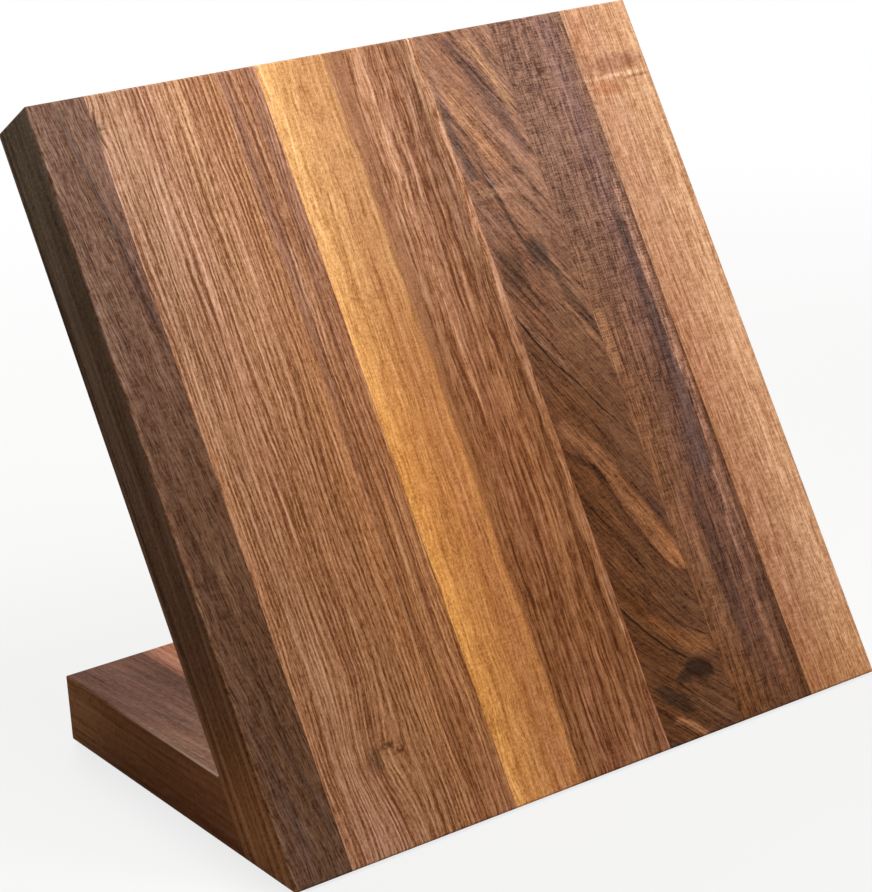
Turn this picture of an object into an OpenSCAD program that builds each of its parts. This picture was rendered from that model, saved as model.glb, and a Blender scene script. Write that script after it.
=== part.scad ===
// Magnetic knife block: a walnut panel that leans back over a walnut base.
// Both are glued up from full-length staves. The panel runs down to the
// underside, and the base butts against its back on a bevel, with hidden dowels.
// X runs across the block, Y to the back and Z up. The origin is on the surface
// that the block stands on, in the middle of its bounding box.

/* [Block] */
// Width across the panel and the base
block_w = 300; // [270:1:360]
// Angle between the panel's face and the surface
lean = 60; // [50:1:70]

/* [Panel] */
// Length of the front face, up the slope
panel_len = 320; // [300:1:380]
// Thickness of the panel
panel_t = 30; // [26:0.5:36]
// Radius along the panel's long and top edges
panel_ease = 1.2; // [0.5:0.1:3]
// Radius along the sharp front edge that rests above the surface
tip_ease = 1; // [0.5:0.1:2.5]

/* [Panel staves, from the left] */
// Width of the first stave
panel_stave_1_w = 26; // [23:0.5:32]
// Width of the second stave
panel_stave_2_w = 78.5; // [70:0.5:84]
// Width of the fourth stave; the third is what the others leave of the block's width
panel_stave_4_w = 39.5; // [32:0.5:45]
// Width of the fifth stave
panel_stave_5_w = 39.5; // [32:0.5:45]
// Width of the sixth stave
panel_stave_6_w = 37; // [30:0.5:44]

/* [Base] */
// Depth from the front edge of the block to the back of the base
base_d = 178; // [150:1:220]
// Thickness of the base
base_t = 30; // [26:0.5:36]
// Radius along the base's side edges and its top edge at the back
base_ease = 1.4; // [0.5:0.1:3]
// Radius along the bottom edge at the back
base_heel_ease = 3.5; // [1:0.1:8]

/* [Base staves, from the left] */
// Width of the first stave
base_stave_1_w = 36.5; // [30:0.5:42]
// Width of the second stave
base_stave_2_w = 58; // [50:0.5:62]
// Width of the third stave
base_stave_3_w = 47; // [42:0.5:54]
// Width of the fifth stave; the fourth is what the others leave of the block's width
base_stave_5_w = 52; // [44:0.5:58]
// Width of the sixth stave
base_stave_6_w = 44.5; // [36:0.5:54]

/* [Magnet rows] */
// Diameter of a magnet and of the steel pole discs between the magnets
magnet_d = 10; // [6:0.5:14]
// Thickness of a magnet
magnet_t = 10; // [4:0.5:16]
// Thickness of a pole disc
pole_t = 4; // [2:0.5:6]
// Wood left between a row and the front face
magnet_cover = 3; // [1.5:0.1:6]
// Least wood left between the end of a row and the side of the panel
magnet_end_wall = 7.5; // [4:0.5:15]
// Height of the lower row, up the slope
lower_row_h = 95; // [75:1:110]
// Height of the middle row, up the slope
middle_row_h = 185; // [150:1:200]
// Height of the upper row, up the slope
upper_row_h = 275; // [235:1:285]

/* [Dowels] */
// Number of dowels in the joint
dowel_count = 5; // [3:1:6]
// From the side of the block to the middle of the outermost dowel
dowel_side_inset = 18; // [12:1:30]
// Diameter of a dowel
dowel_d = 8; // [6:0.5:10]
// Length of a dowel
dowel_len = 35; // [28:1:38]
// Length of dowel that sits in the panel
dowel_in_panel = 15; // [10:1:18]
// Height of the dowels above the underside, on the joint's face
dowel_h = 18.5; // [16:0.5:20]
// Chamfer on the ends of a dowel
dowel_chamfer = 0.8; // [0.3:0.1:1.5]

/* [Feet] */
// Diameter of a rubber foot
foot_d = 14; // [8:0.5:15]
// Height that a foot stands out of the wood
foot_proud = 1; // [0.5:0.1:3]
// Depth that a foot is let into the wood
foot_sunk = 2.3; // [1:0.1:5]
// Radius round a foot's lower edge
foot_ease = 0.6; // [0.2:0.1:1]
// From the side of the block to the middle of a foot
foot_side_inset = 15; // [11:0.5:15.5]
// From the front edge of the block to the middle of a front foot
foot_front_inset = 20; // [16:0.5:22]
// From the back of the base to the middle of a back foot
foot_back_inset = 18; // [14:0.5:30]

/* [Clearances] */
// Thickness of the glue between the base and the panel's back
joint_glue = 0.05; // [0.02:0.01:0.2]
// Gap all round a magnet or a pole disc in its bore
magnet_play = 0.15; // [0.05:0.05:0.4]
// Spare length of a bore over its row of magnets
magnet_end_play = 0.4; // [0.1:0.1:1]
// Gap all round a dowel, taken up by glue
dowel_play = 0.1; // [0.05:0.05:0.3]
// Spare depth at each end of a dowel
dowel_end_play = 0.5; // [0.2:0.1:1.5]
// Gap all round a foot in its recess
foot_play = 0.2; // [0.05:0.05:0.5]

/* [Hidden] */
$fn = 96;

// Cutters reach this far past what they cut
overcut = 2;
// A round-over's arc crosses the faces beside it by this much
bite = 0.002;

// Glue lines, from the left side of the block
function sum_to(widths, n) = n == 0 ? 0 : widths[n - 1] + sum_to(widths, n - 1);
panel_stave_3_w = block_w - panel_stave_1_w - panel_stave_2_w
    - panel_stave_4_w - panel_stave_5_w - panel_stave_6_w;
base_stave_4_w = block_w - base_stave_1_w - base_stave_2_w - base_stave_3_w
    - base_stave_5_w - base_stave_6_w;
panel_widths = [
    panel_stave_1_w, panel_stave_2_w, panel_stave_3_w,
    panel_stave_4_w, panel_stave_5_w, panel_stave_6_w
];
base_widths = [
    base_stave_1_w, base_stave_2_w, base_stave_3_w,
    base_stave_4_w, base_stave_5_w, base_stave_6_w
];
panel_lines = [for (n = [0:6]) sum_to(panel_widths, n)];
base_lines = [for (n = [0:6]) sum_to(base_widths, n)];

// Where the base meets the panel's back, measured from the front edge
joint_foot_y = panel_t / sin(lean);
joint_top_y = joint_foot_y + base_t / tan(lean);
glue_y = joint_glue / sin(lean);
// The same two levels, up the panel's own slope
joint_foot_h = panel_t / tan(lean);
joint_top_h = joint_foot_h + base_t / sin(lean);
dowel_slope_h = joint_foot_h + dowel_h / sin(lean);
dowel_pitch = (block_w - 2 * dowel_side_inset) / (dowel_count - 1);

// The front edge is rounded off, and so is the edge at the top of the back:
// the block reaches from one arc to the other
front_y = tip_ease / tan(lean / 2) - tip_ease;
back_y = (panel_len - panel_ease) * cos(lean) + (panel_t - panel_ease) * sin(lean) + panel_ease;
middle_y = (front_y + max(back_y, base_d)) / 2;

// A row starts and ends with a pole disc
row_pitch = magnet_t + pole_t;
row_magnets = floor((block_w - 2 * magnet_end_wall - magnet_end_play - pole_t) / row_pitch);
row_len = row_magnets * row_pitch + pole_t;
row_depth = magnet_cover + magnet_d / 2 + magnet_play;

// Colours of the parts
panel_colors = ["#5b463d", "#8f6446", "#a5794a", "#5e4637", "#563e35", "#9c7653"];
base_colors = ["#6b5049", "#8a5238", "#74543f", "#5d463a", "#80583f", "#684c3e"];
magnet_color = "#c9cbd0";
pole_color = "#7f8387";
dowel_color = "#d8b98a";
rubber_color = "#26282a";

// ---- Profiles and cutters ----

// What a round-over of radius r takes off the corner at p. The two edges of the
// corner leave it in the directions a and b, in degrees, with b the larger.
module corner_waste(p, a, b, r) {
    half = (b - a) / 2;
    middle = [cos((a + b) / 2), sin((a + b) / 2)];
    tangent = r / tan(half);
    on_a = p + tangent * [cos(a), sin(a)];
    on_b = p + tangent * [cos(b), sin(b)];
    centre = p + r / sin(half) * middle;
    difference() {
        polygon([
            centre,
            on_a,
            on_a + overcut * [sin(a), -cos(a)],
            p - 2 * overcut * middle,
            on_b + overcut * [-sin(b), cos(b)],
            on_b
        ]);
        translate(centre) circle(r + bite);
    }
}

// The panel seen from its right side: depth behind the face, height up the slope
module panel_profile() {
    difference() {
        polygon([[0, 0], [panel_t, joint_foot_h], [panel_t, panel_len], [0, panel_len]]);
        corner_waste([0, 0], 90 - lean, 90, tip_ease);
        corner_waste([panel_t, panel_len], 180, 270, panel_ease);
        corner_waste([0, panel_len], 270, 360, panel_ease);
    }
}

// The base seen from its right side: its front edge is bevelled to the panel
module base_profile() {
    difference() {
        polygon([
            [joint_foot_y + glue_y, 0],
            [base_d, 0],
            [base_d, base_t],
            [joint_top_y + glue_y, base_t]
        ]);
        corner_waste([base_d, 0], 90, 180, base_heel_ease);
        corner_waste([base_d, base_t], 180, 270, base_ease);
    }
}

// A bar that rounds over an edge on the Z axis, with the wood towards +X and +Y
module edge_waste(r, length) {
    translate([0, 0, -overcut])
        linear_extrude(length + 2 * overcut)
            corner_waste([0, 0], 0, 90, r);
}

// Draws its children for both sides of the block, the right one mirrored
module both_sides() {
    children();
    translate([block_w, 0, 0]) mirror([1, 0, 0]) children();
}

// Turns a profile drawn in depth and height into a slab along X
module across(from, to) {
    translate([from, 0, 0])
        rotate([90, 0, 90])
            linear_extrude(to - from)
                children();
}

// Leans the upright panel back by its angle, about the front edge
module leaned() {
    rotate([lean - 90, 0, 0]) children();
}

// Moves the block from its front left corner to the origin and onto its feet
module placed() {
    translate([-block_w / 2, -middle_y, foot_proud]) children();
}

// ---- Panel ----

// Edges at the sides of the upright panel. The back edge starts above the base.
module panel_side_waste() {
    edge_waste(panel_ease, panel_len);
    translate([0, panel_t, joint_top_h + overcut])
        rotate([0, 0, -90])
            edge_waste(panel_ease, panel_len - joint_top_h);
    translate([0, 0, panel_len])
        rotate([-90, 0, 0])
            edge_waste(panel_ease, panel_t);
}

// The edge between the underside and the side, the same along panel and base
module sole_side_waste() {
    translate([0, base_d, 0])
        rotate([90, 0, 0])
            edge_waste(base_ease, base_d);
}

// Bores for one row of magnets, blind in the two outer staves
module row_bore(row_h) {
    bore_len = row_len + magnet_end_play;
    translate([(block_w - bore_len) / 2, row_depth, row_h])
        rotate([0, 90, 0])
            cylinder(h = bore_len, r = magnet_d / 2 + magnet_play);
}

// Places its children on the dowels' axes, at the inner end of each dowel
module at_dowels() {
    for (n = [0:dowel_count - 1])
        translate([
            dowel_side_inset + n * dowel_pitch,
            panel_t - dowel_in_panel,
            dowel_slope_h
        ])
            rotate([-90, 0, 0])
                children();
}

module dowel_bores() {
    leaned()
        at_dowels()
            translate([0, 0, -dowel_end_play])
                cylinder(h = dowel_len + 2 * dowel_end_play, r = dowel_d / 2 + dowel_play);
}

// Places its children in the middle of a foot, on the underside
module at_foot(right, back) {
    x = right ? block_w - foot_side_inset : foot_side_inset;
    y = back ? base_d - foot_back_inset : foot_front_inset;
    translate([x, y, 0]) children();
}

module foot_recesses() {
    for (right = [false, true], back = [false, true])
        at_foot(right, back)
            translate([0, 0, -overcut])
                cylinder(h = foot_sunk + overcut, r = foot_d / 2 + foot_play);
}

// One stave: the slab of the shaped panel between two glue lines
module panel_stave(n) {
    color(panel_colors[n])
        placed()
            difference() {
                leaned()
                    difference() {
                        across(panel_lines[n], panel_lines[n + 1]) panel_profile();
                        both_sides() panel_side_waste();
                        for (row_h = [lower_row_h, middle_row_h, upper_row_h])
                            row_bore(row_h);
                    }
                both_sides() sole_side_waste();
                dowel_bores();
                foot_recesses();
            }
}

// ---- Base ----

// Edges at the sides of the base: along the top, and up the back
module base_side_waste() {
    translate([0, joint_top_y - overcut, base_t])
        rotate([-90, 0, 0])
            edge_waste(base_ease, base_d - joint_top_y + overcut);
    translate([0, base_d, 0])
        rotate([0, 0, -90])
            edge_waste(base_ease, base_t);
}

module base_stave(n) {
    color(base_colors[n])
        placed()
            difference() {
                across(base_lines[n], base_lines[n + 1]) base_profile();
                both_sides() base_side_waste();
                both_sides() sole_side_waste();
                dowel_bores();
                foot_recesses();
            }
}

// ---- Magnet rows ----

// One row lies along X in its bore. Discs number 0 to count - 1 are a pitch apart.
module disc_row(row_h, first, count, disc_t) {
    placed()
        leaned()
            for (n = [0:count - 1])
                translate([(block_w - row_len) / 2 + first + n * row_pitch, row_depth, row_h])
                    rotate([0, 90, 0])
                        cylinder(h = disc_t, r = magnet_d / 2);
}

module magnets(row_h) {
    color(magnet_color) disc_row(row_h, pole_t, row_magnets, magnet_t);
}

module pole_discs(row_h) {
    color(pole_color) disc_row(row_h, 0, row_magnets + 1, pole_t);
}

// ---- Dowels and feet ----

// Half of a dowel's outline, turned about the dowel's axis
module dowel() {
    r = dowel_d / 2;
    rotate_extrude()
        polygon([
            [0, 0],
            [r - dowel_chamfer, 0],
            [r, dowel_chamfer],
            [r, dowel_len - dowel_chamfer],
            [r - dowel_chamfer, dowel_len],
            [0, dowel_len]
        ]);
}

module joint_dowels() {
    color(dowel_color)
        placed()
            leaned()
                at_dowels()
                    dowel();
}

module foot(right, back) {
    color(rubber_color)
        placed()
            at_foot(right, back)
                translate([0, 0, -foot_proud])
                    rotate_extrude()
                        difference() {
                            square([foot_d / 2, foot_proud + foot_sunk]);
                            corner_waste([foot_d / 2, 0], 90, 180, foot_ease);
                        }
}

panel_stave(0);  // panel_stave_1
panel_stave(1);  // panel_stave_2
panel_stave(2);  // panel_stave_3
panel_stave(3);  // panel_stave_4
panel_stave(4);  // panel_stave_5
panel_stave(5);  // panel_stave_6
base_stave(0);  // base_stave_1
base_stave(1);  // base_stave_2
base_stave(2);  // base_stave_3
base_stave(3);  // base_stave_4
base_stave(4);  // base_stave_5
base_stave(5);  // base_stave_6
magnets(lower_row_h);  // magnets_lower
magnets(middle_row_h);  // magnets_middle
magnets(upper_row_h);  // magnets_upper
pole_discs(lower_row_h);  // pole_discs_lower
pole_discs(middle_row_h);  // pole_discs_middle
pole_discs(upper_row_h);  // pole_discs_upper
joint_dowels();
foot(false, false);  // foot_front_left
foot(true, false);  // foot_front_right
foot(false, true);  // foot_back_left
foot(true, true);  // foot_back_right
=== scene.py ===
from math import cos, pi, radians, sin

import bpy
from mathutils import Matrix, Vector


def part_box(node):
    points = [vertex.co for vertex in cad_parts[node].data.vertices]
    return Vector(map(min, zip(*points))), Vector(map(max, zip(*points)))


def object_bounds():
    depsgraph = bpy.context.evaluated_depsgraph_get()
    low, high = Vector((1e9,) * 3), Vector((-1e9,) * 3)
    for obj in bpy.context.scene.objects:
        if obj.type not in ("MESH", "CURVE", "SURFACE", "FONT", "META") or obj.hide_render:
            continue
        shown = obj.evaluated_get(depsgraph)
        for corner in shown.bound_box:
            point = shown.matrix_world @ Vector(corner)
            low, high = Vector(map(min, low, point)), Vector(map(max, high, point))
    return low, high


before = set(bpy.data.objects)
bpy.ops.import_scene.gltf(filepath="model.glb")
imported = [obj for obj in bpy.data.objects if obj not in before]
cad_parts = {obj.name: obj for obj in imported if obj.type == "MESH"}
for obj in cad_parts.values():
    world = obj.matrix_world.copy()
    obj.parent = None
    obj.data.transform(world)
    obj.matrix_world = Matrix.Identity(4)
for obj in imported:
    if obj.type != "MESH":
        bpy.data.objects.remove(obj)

# Magnetic knife block in walnut: a panel of six staves that leans back over a base of six.
# Lengths in the dictionaries of the wood are in millimetres, those of the scene in metres.

scene = bpy.context.scene
cadBox = [list(corner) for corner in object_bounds()]
print("frame loaded:", len(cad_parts), "pieces")

camera = {
    "place": (-0.584142, -0.833456, 0.474268),
    "turn": 34.502,         # degrees to the right of straight ahead
    "dip": 19.222,          # degrees below the horizon
    "roll": -3.138,
    "lens": 104.01,         # millimetres
    "sensor": 36,           # millimetres wide
    "nearest": 0.01,        # metres
}

softboxes = {
    "frontSoftbox": {"place": (0.36, -0.44, 0.75), "size": (0.25, 0.25), "power": 1.5},
    "topSoftbox": {"place": (0.02, -0.15, 0.70), "size": (0.4, 0.2), "power": 3.0},
    "rearSoftbox": {"place": (0.15, 0.9, 0.95), "size": (0.5, 0.5), "power": 12.0},
}

studio = {
    "target": (0.0, 0.0, 0.14),
    "fill": 0.13,            # light from all round
    "backdrop": 1.0,
    "floorSize": 6.0,
    "floorColour": "cfcdca",
    "floorGlow": 0.8,        # share of the floor that shows plain white near the block
    "glowReach": (0.3, 1.1), # distances from where to where that share grows to all of it
}

block = {
    "width": 300.0,
    "lean": 60.0,            # degrees
    "panelLength": 320.0,
    "thickness": 30.0,
    "baseDepth": 178.0,
    "frontEdge": 0.732,      # from the sharp front corner back to the rounded one
    "standsOff": 1.0,        # height of the underside
}


# Helpers for materials
def linearValue(part):
    return part / 12.92 if part <= 0.04045 else ((part + 0.055) / 1.055) ** 2.4


def colour(code):
    parts = [int(code[i:i + 2], 16) / 255 for i in (0, 2, 4)]
    return (*[linearValue(part) for part in parts], 1.0)


def plug(tree, socket, value):
    if isinstance(value, bpy.types.NodeSocket):
        tree.links.new(value, socket)
    else:
        socket.default_value = value


def put(tree, kind, inputs, **settings):
    made = tree.nodes.new("ShaderNode" + kind)
    for name, value in settings.items():
        setattr(made, name, value)
    for name, value in inputs.items():
        plug(tree, made.inputs[name], value)
    return made


def calc(tree, operation, first, second=0.0, third=0.0):
    made = put(tree, "Math", {0: first, 1: second, 2: third}, operation=operation)
    return made.outputs[0]


def vectorCalc(tree, operation, first, second, third=(0, 0, 0)):
    made = put(tree, "VectorMath", {0: first, 1: second, 2: third}, operation=operation)
    return made.outputs[0]


def remap(tree, value, fromLow, fromHigh, toLow=0.0, toHigh=1.0, smooth=False):
    kind = "SMOOTHSTEP" if smooth else "LINEAR"
    inputs = {0: value, 1: fromLow, 2: fromHigh, 3: toLow, 4: toHigh}
    return put(tree, "MapRange", inputs, interpolation_type=kind).outputs[0]


def mixColour(tree, amount, first, second, blend="MIX"):
    made = put(tree, "Mix", {0: amount, 6: first, 7: second}, data_type="RGBA", blend_type=blend)
    return made.outputs[2]


def noise(tree, vector, detail=0.0, output="Fac"):
    inputs = {"Vector": vector, "Scale": 1.0, "Detail": detail}
    return put(tree, "TexNoise", inputs).outputs[output]


def stretched(tree, vector, width, length, seed, depth=None):
    # Noise in cells of a width, a depth into the board and a length along the grain
    scale = (1 / width, 1 / (depth or width), 1 / length)
    moved = vectorCalc(tree, "MULTIPLY_ADD", vector, scale, (seed * 7.3, seed * 3.1, seed * 5.7))
    return noise(tree, moved)


def spread(tree, value, stops):
    # Colours at places along a value, blended between them
    low, high = stops[0][0], stops[-1][0]
    made = put(tree, "ValToRGB", {0: remap(tree, value, low, high)})
    ramp = made.color_ramp
    for number, (place, code) in enumerate(stops):
        share = (place - low) / (high - low)
        if number < 2:
            stop = ramp.elements[number]
            stop.position = share
        else:
            stop = ramp.elements.new(share)
        stop.color = colour(code)
    return made.outputs[0]


def emptyTree(owner):
    owner.use_nodes = True
    owner.node_tree.nodes.clear()
    return owner.node_tree


def newMaterial(name):
    made = bpy.data.materials.new(name)
    tree = emptyTree(made)
    shader = put(tree, "BsdfPrincipled", {})
    put(tree, "OutputMaterial", {"Surface": shader.outputs[0]})
    return made, tree, shader


def dress(piece, material):
    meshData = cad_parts[piece].data
    meshData.materials.clear()
    meshData.materials.append(material)
    for face in meshData.polygons:
        face.material_index = 0


# Walnut. Each stave has a dictionary of its own, in millimetres from the block's left side (x)
# and up from the foot of the grain (u).
# Its colours: "colours" (x, at the foot, at the top), whose top colours hold the wood's own change
# along it and also a painted sheen over the upper part of the panel, "side" (u, colour) on the
# outer side of an end stave, which on panel stave 1 is greyer at the top for a painted sheen and
# redder at the foot for a painted warm floor bounce, "footLightTint" factors near the foot that are
# painted floor light, "patches" (x, u, half width, half length, lean, amount, colour), "strokes" of
# the figure (amount, first colour, last colour, a line of (x, u, half width)), "worn" on rubbed
# edges, a
# "arrisHighlight", a painted highlight on the left top edge (amount, colour, u where it starts, u
# where it is full), and how strongly each colour "keeps" the tone.
# Its lines: even "rows" (spacing, weight), looser "bands" (width, length, weight), "sideBands"
# (depth, length, weight), "ripples" across them (width, length, weight at the foot, at the top),
# a finer "weave" higher up (spacing, weight), "calm" (x, share of the lines left of it), and
# "floor", the darkest tone.
# How they run: "drift" along the board, "curl" (u, the drift below it), "wander", a small
# "wavy" sway (amount, length), and "swings" round a knot (x, u, half width, half length, push,
# right limit).
walnut = {
    "wanderSize": (40, 40, 140),     # millimetres across, into the board and along it
    "knotDepth": 25,
    "swingFade": 12,                 # how far before its right limit a swing dies out
    "ringSlant": 0.8,                # sideways run of the growth lines into the board
    "ringHollow": 0.012,             # and how much it grows with depth
    "curlRound": 15,                 # how softly a curl joins the drift above it
    "bandDepth": 5,                  # times its width that a band goes into the board
    "sideBandWidth": 40,
    "rowStray": (8, 60, 3),          # width and length of the noise, and the turns it adds
    "weaveStray": (4, 6, 2.5),
    "rippleRise": (90, 170),         # from the weight at the foot to the one at the top
    "weaveRise": (90, 190),
    "floor": 0.1,
    "floorRound": 0.3,               # how softly the tone meets its floor
    "lightest": 2.6,
    "topColours": (0.4, 0.85),       # shares of the length over which they take over, with their painted sheen
    "sideFacing": (0.5, 0.9),        # from the front's look to the side's, as a surface turns
    "keeps": (0.83, 1.1, 1.4),       # how strongly red, green and blue follow the tone
    "footLightHeight": (45, 6),           # u from where to where the footLightTint, a painted floor light, comes in
    "straightEdge": (2, 8),          # x over which the colours start to follow the grain
    "patchDepth": 16,
    "patchRim": 0.7,                 # share of a patch over which it comes in
    "calmRim": 0.6,                  # how far either side of its x the calm comes in
    "raggedSize": (7, 22),
    "ragged": 2.5,                   # how much that noise pushes the edges of the figure
    "raggedPush": 0.8,
    "strokeRim": (1.35, 0.45),       # from nothing to full, in half widths from the middle
    "strokeTip": (0.17, 0.5),        # the same from its ends, on a scale of 0 to 1
    "endGrain": 0.6,                 # share of the colour left where the grain ends
    "endFacing": (0.6, 0.9),
    "glueWidth": 0.16,
    "glueMiddle": 0.3,               # share of that width that is darkest
    "glueShade": 0.72,               # share of the colour left in a glue line
    "worn": "a9835f",
    "wearWidth": 1.3,
    "wear": 0.25,
    "wearSize": (3, 9),
    "wearPatches": (0.35, 0.6),      # from no wear to full wear, in that noise
    "arrisWidth": (1.0, 0.45),       # distances from the edge, from nothing to full
    "arrisReach": 3,                 # how far from both faces it may be
    "roughness": 0.34,
    "roughTones": (0.4, 1.6),
    "roughChange": (0.08, -0.04),    # at those tones
    "frontFacing": (0.8, 0.95),      # from the sides' shine to the front's
    "bump": 0.3,
    "bumpHeight": 0.00012,           # metres
}

# What each kind of noise adds to a stave's seed
seedShift = {
    "rows": 15, "ripples": 20, "weave": 25, "wear": 31, "ragged": 40, "sideBands": 50, "wavy": 60,
}


def grainSpace(tree, turn, foot):
    # Millimetres across the block, into the board and along its grain
    coords = put(tree, "TexCoord", {}).outputs["Object"]
    spin = Matrix.Rotation(radians(turn), 3, "X")
    shift = spin @ (Vector(foot) * -1000)
    inputs = {
        "Vector": coords, "Location": shift,
        "Rotation": (radians(turn), 0, 0), "Scale": (1000, 1000, 1000),
    }
    return put(tree, "Mapping", inputs, vector_type="POINT").outputs[0]


def split(tree, vector):
    return put(tree, "SeparateXYZ", {0: vector}).outputs


def join(tree, x, y, z):
    return put(tree, "CombineXYZ", {0: x, 1: y, 2: z}).outputs[0]


def around(tree, vector, place, size, tilt=0.0):
    # 1 at a place in the wood, falling to 0 at the rim of an ellipsoid round it
    inputs = {
        "Vector": vector, "Location": place,
        "Rotation": (0, radians(tilt), 0), "Scale": size,
    }
    moved = put(tree, "Mapping", inputs, vector_type="TEXTURE").outputs[0]
    return put(tree, "TexGradient", {0: moved}, gradient_type="SPHERICAL").outputs["Fac"]


def along(tree, vector, path, amount):
    # How near a point is to a line through (x, u, half width), and how far on along it.
    # A colour ramp carries the line: its middle, its half width, and 0 at its two ends.
    parts = split(tree, vector)
    flat = abs(path[-1][1] - path[0][1]) < abs(path[-1][0] - path[0][0])
    run, across = (parts[0], parts[2]) if flat else (parts[2], parts[0])
    places = [(x, u, half) if flat else (u, x, half) for x, u, half in path]
    start, end = places[0][0], places[-1][0]
    near = min(place[1] for place in places)
    reach = max(place[1] for place in places) - near + 1
    widest = max(place[2] for place in places)
    passed = remap(tree, run, start, end)
    made = put(tree, "ValToRGB", {0: passed})
    made.color_ramp.interpolation = "B_SPLINE"
    stops = made.color_ramp.elements
    stops.remove(stops[1])
    stops[0].position = 0
    for place in places[1:]:
        stops.new((place[0] - start) / (end - start))
    for stop, (place, middle, half) in zip(stops, places):
        inner = 0 if place in (start, end) else 1
        stop.color = ((middle - near) / reach, half / widest, inner, 1)
    middle, half, inner = put(tree, "SeparateColor", {0: made.outputs[0]}).outputs
    middle = calc(tree, "MULTIPLY_ADD", middle, reach, near)
    gap = calc(tree, "ABSOLUTE", calc(tree, "SUBTRACT", across, middle))
    share = calc(tree, "DIVIDE", gap, calc(tree, "MULTIPLY", half, widest))
    cover = remap(tree, share, *walnut["strokeRim"], 0, amount, smooth=True)
    tip = remap(tree, inner, *walnut["strokeTip"], smooth=True)
    return calc(tree, "MULTIPLY", cover, tip), passed


def swayed(tree, stave, wood):
    # The grain wanders a little, and swings aside where a knot is near
    seed = stave["seed"]
    scale = [1 / size for size in walnut["wanderSize"]]
    slow = vectorCalc(tree, "MULTIPLY_ADD", wood, scale, (seed, seed, seed))
    sway = vectorCalc(tree, "SUBTRACT", noise(tree, slow, 1.0, output="Color"), (0.5, 0.5, 0.5))
    reach = stave["wander"]
    bent = vectorCalc(tree, "MULTIPLY_ADD", sway, (reach, reach, 0), wood)
    if "wavy" in stave:
        amount, length = stave["wavy"]
        small = stretched(tree, wood, length / 2, length, seed + seedShift["wavy"])
        small = calc(tree, "MULTIPLY", calc(tree, "SUBTRACT", small, 0.5), amount)
        bent = vectorCalc(tree, "ADD", bent, join(tree, small, 0, 0))
    for x, u, wide, long, push, limit in stave.get("swings", []):
        near = around(tree, wood, (x, 0, u), (wide, walnut["knotDepth"], long))
        near = remap(tree, near, 0, 1, 0, push, smooth=True)
        fade = limit - walnut["swingFade"]
        inside = remap(tree, split(tree, wood)[0], fade, limit, 1, 0, smooth=True)
        shift = join(tree, calc(tree, "MULTIPLY", near, inside), 0, 0)
        bent = vectorCalc(tree, "ADD", bent, shift)
    return bent


def growthLines(tree, stave, bent):
    # Distance across the growth lines, which curve into the board and run off along it
    x, n, u = split(tree, bent)
    slant = calc(tree, "MULTIPLY_ADD", n, walnut["ringHollow"], walnut["ringSlant"])
    line = calc(tree, "MULTIPLY_ADD", n, slant, x)
    drift = stave.get("drift", 0.0)
    if "curl" not in stave:
        return calc(tree, "MULTIPLY_ADD", u, drift, line)
    limit, steep = stave["curl"]
    above = calc(tree, "MULTIPLY_ADD", u, drift, (steep - drift) * limit)
    below = calc(tree, "MULTIPLY", u, steep)
    return calc(tree, "ADD", line, calc(tree, "SMOOTH_MIN", above, below, walnut["curlRound"]))


def addTone(tree, tone, pattern, weight):
    return calc(tree, "MULTIPLY_ADD", calc(tree, "SUBTRACT", pattern, 0.5), weight, tone)


def addWaves(tree, tone, grown, place, spacing, stray, seed, weight):
    # Even waves that stray a little
    width, length, added = stray
    loose = stretched(tree, grown, width, length, seed)
    turns = calc(tree, "MULTIPLY_ADD", loose, added, calc(tree, "DIVIDE", place, spacing))
    waves = calc(tree, "SINE", calc(tree, "MULTIPLY", turns, 2 * pi))
    return calc(tree, "MULTIPLY_ADD", waves, weight, tone)


def grainTone(tree, stave, grown):
    # 1 on average, less in the dark lines along the grain
    tone = 1.0
    for number, (width, length, weight) in enumerate(stave["bands"]):
        depth = walnut["bandDepth"] * width
        part = stretched(tree, grown, width, length, stave["seed"] + number, depth)
        tone = addTone(tree, tone, part, weight)
    if "rows" in stave:
        spacing, weight = stave["rows"]
        across = split(tree, grown)[0]
        seed = stave["seed"] + seedShift["rows"]
        tone = addWaves(tree, tone, grown, across, spacing, walnut["rowStray"], seed, weight)
    if "calm" in stave:
        limit, share = stave["calm"]
        across = split(tree, grown)[0]
        rim = walnut["calmRim"]
        share = remap(tree, across, limit - rim, limit + rim, share, 1.0)
        tone = calc(tree, "MULTIPLY_ADD", calc(tree, "SUBTRACT", tone, 1.0), share, 1.0)
    return tone


def sideTone(tree, stave, bent):
    # The same for the outer side of an end stave, where the lines are broader
    tone = 1.0
    seed = stave["seed"] + seedShift["sideBands"]
    for number, (depth, length, weight) in enumerate(stave["sideBands"]):
        part = stretched(tree, bent, walnut["sideBandWidth"], length, seed + number, depth)
        tone = addTone(tree, tone, part, weight)
    return tone


def rippled(tree, stave, grown, tone, u):
    # The shimmer that crosses the grain, and an end to too dark and too light
    seed = stave["seed"] + seedShift["ripples"]
    for number, (width, length, low, high) in enumerate(stave["ripples"]):
        part = stretched(tree, grown, width, length, seed + number)
        tone = addTone(tree, tone, part, remap(tree, u, *walnut["rippleRise"], low, high))
    if "weave" in stave:
        spacing, weight = stave["weave"]
        rise = remap(tree, u, *walnut["weaveRise"], 0, weight)
        seed = stave["seed"] + seedShift["weave"]
        tone = addWaves(tree, tone, grown, u, spacing, walnut["weaveStray"], seed, rise)
    floor = stave.get("floor", walnut["floor"])
    tone = calc(tree, "SMOOTH_MAX", tone, floor, walnut["floorRound"])
    return calc(tree, "MINIMUM", tone, walnut["lightest"])


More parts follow.
